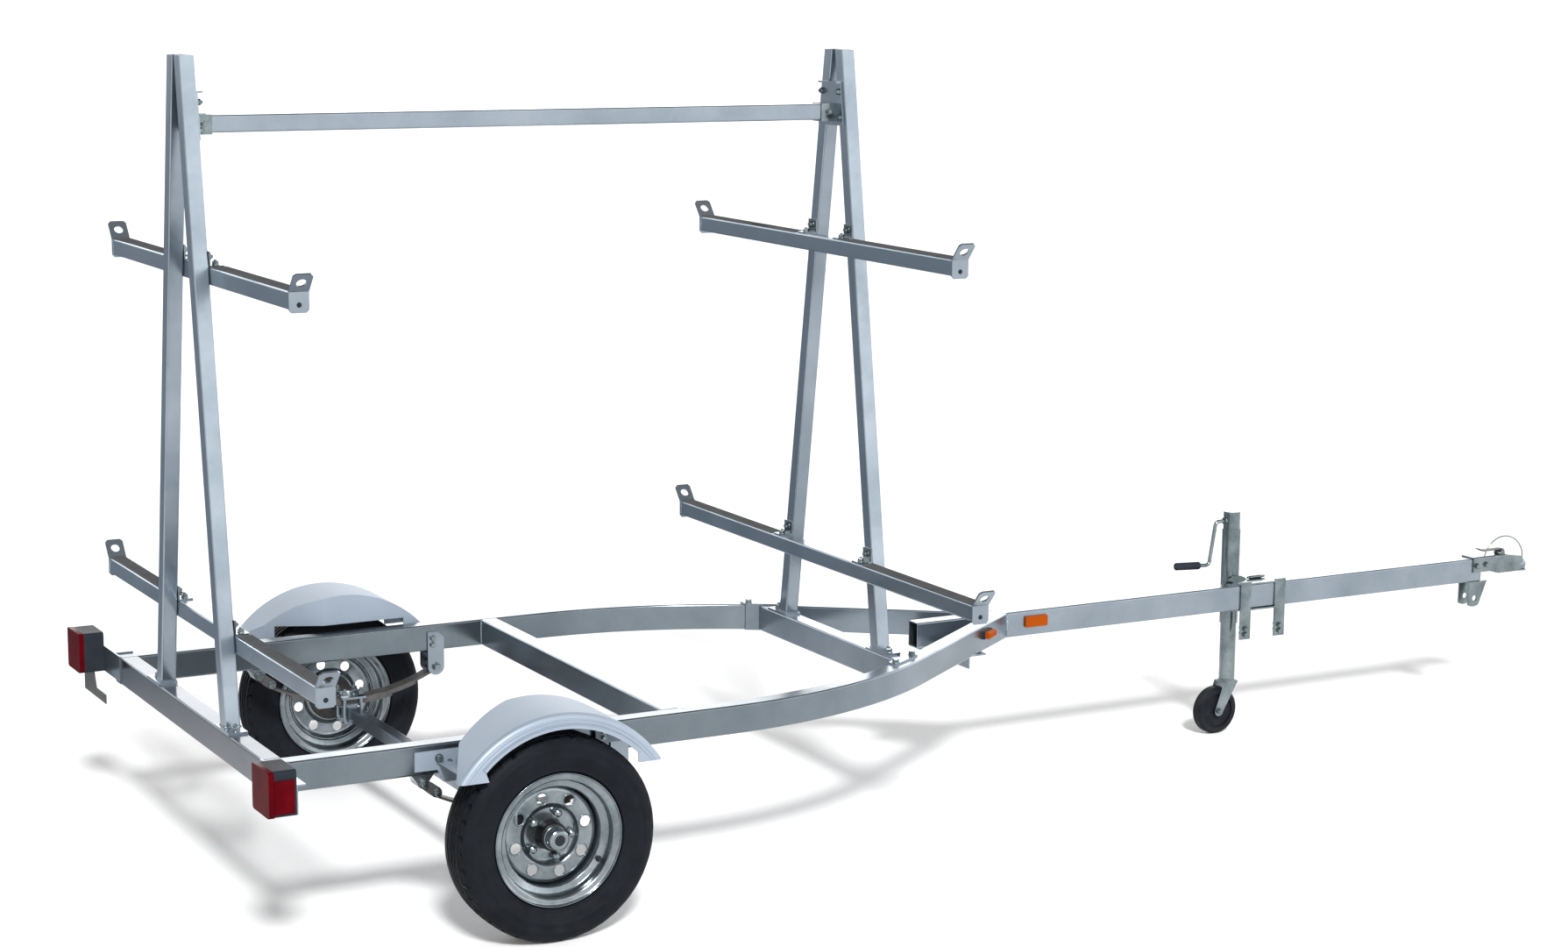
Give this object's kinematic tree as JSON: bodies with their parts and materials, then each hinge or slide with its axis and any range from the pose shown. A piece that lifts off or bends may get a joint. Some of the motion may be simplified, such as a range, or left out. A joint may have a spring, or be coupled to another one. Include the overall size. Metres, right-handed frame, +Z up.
{
  "type": "kayak trailer",
  "caption": "Single-axle boat trailer with a bow-shaped tube frame, two A-shaped masts carrying cross arms with lashing eyes, a long tongue, ball coupler and swivel jack.",
  "frame": {"origin": "on the ground under the middle of the bounding box", "axes": "+X forward towards the coupler, +Y to the trailer's left, +Z up"},
  "size_m": [4.635, 1.7832, 2.158],
  "materials": {
    "galvanised_steel": "matt, spangled zinc",
    "zinc_steel": "satin zinc plate",
    "spring_steel": "satin black paint",
    "black_steel": "satin black paint",
    "wheel_steel": "galvanised, matt",
    "hub_steel": "satin",
    "fender_sheet": "silver, satin",
    "tyre_rubber": "matt",
    "black_plastic": "matt",
    "grip_plastic": "matt",
    "caster_plastic": "matt",
    "red_lens": "gloss",
    "amber_lens": "gloss"
  },
  "bodies": {
    "chassis": {"apex_plates": "galvanised_steel", "arm_clips": "zinc_steel", "arm_lower_front": "galvanised_steel", "arm_lower_rear": "galvanised_steel", "arm_upper_front": "galvanised_steel", "arm_upper_rear": "galvanised_steel", "axle": "galvanised_steel", "axle_clamps": "galvanised_steel", "chain_bracket": "black_steel", "coupler_body": "zinc_steel", "crossmember_front": "galvanised_steel", "crossmember_middle": "galvanised_steel", "crossmember_rear": "galvanised_steel", "crossmember_saddles": "galvanised_steel", "fender_brackets": "galvanised_steel", "fender_left": "fender_sheet", "fender_right": "fender_sheet", "jack_clamp": "zinc_steel", "jack_plunger": "zinc_steel", "lamp_bracket_left": "galvanised_steel", "lamp_bracket_right": "galvanised_steel", "lashing_eyes_lower": "galvanised_steel", "lashing_eyes_upper": "galvanised_steel", "leaf_spring_left": "spring_steel", "leaf_spring_right": "spring_steel", "marker_bases": "black_plastic", "marker_lenses": "amber_lens", "mast_feet": "galvanised_steel", "mast_leg_front_left": "galvanised_steel", "mast_leg_front_right": "galvanised_steel", "mast_leg_rear_left": "galvanised_steel", "mast_leg_rear_right": "galvanised_steel", "plate_strip": "black_steel", "rail_left": "galvanised_steel", "rail_right": "galvanised_steel", "side_reflectors": "amber_lens", "spring_hangers": "spring_steel", "spring_shackles": "spring_steel", "tail_lamp_left": "black_plastic", "tail_lamp_right": "black_plastic", "tail_lens_left": "red_lens", "tail_lens_right": "red_lens", "tongue": "galvanised_steel", "tongue_cross_angle": "galvanised_steel", "top_bar": "galvanised_steel", "top_bar_cradles": "zinc_steel"},
    "wheel_left": {"tyre_left": "tyre_rubber", "wheel_rim_left": "wheel_steel", "wheel_hub_left": "hub_steel"},
    "wheel_right": {"tyre_right": "tyre_rubber", "wheel_rim_right": "wheel_steel", "wheel_hub_right": "hub_steel"},
    "jack": {"jack_tube": "zinc_steel"},
    "jack_handle": {"jack_crank": "zinc_steel", "crank_grip": "grip_plastic"},
    "jack_leg": {"jack_ram": "zinc_steel"},
    "caster": {"caster_fork": "zinc_steel"},
    "caster_roller": {"caster_wheel": "caster_plastic"},
    "latch": {"coupler_latch": "black_steel"}
  },
  "joints": [
    {"name": "wheel_left_spin", "type": "hinge", "parent": "chassis", "child": "wheel_left", "pos_m": [-1.5705, 0.79, 0.263], "axis": [0, 1, 0], "continuous": true},
    {"name": "wheel_right_spin", "type": "hinge", "parent": "chassis", "child": "wheel_right", "pos_m": [-1.5705, -0.79, 0.263], "axis": [0, 1, 0], "continuous": true},
    {"name": "jack_swivel", "type": "hinge", "parent": "chassis", "child": "jack", "pos_m": [1.1575, 0.0664, 0.4519], "axis": [0, 1, 0], "range_deg": [0, 90]},
    {"name": "jack_ram_slide", "type": "slide", "parent": "jack", "child": "jack_leg", "axis": [0, 0, 1], "range_m": [-0.07, 0.175]},
    {"name": "jack_crank_spin", "type": "hinge", "parent": "jack", "child": "jack_handle", "pos_m": [1.1175, 0.0664, 0.681], "axis": [1, 0, 0], "continuous": true},
    {"name": "caster_swivel", "type": "hinge", "parent": "jack_leg", "child": "caster", "pos_m": [1.1575, 0.0664, 0.168], "axis": [0, 0, 1], "continuous": true},
    {"name": "caster_spin", "type": "hinge", "parent": "caster", "child": "caster_roller", "pos_m": [1.1135, 0.0664, 0.075], "axis": [0, 1, 0], "continuous": true},
    {"name": "coupler_latch_hinge", "type": "hinge", "parent": "chassis", "child": "latch", "pos_m": [2.2115, 0, 0.503], "axis": [0, 1, 0], "range_deg": [0, 75]}
  ]
}
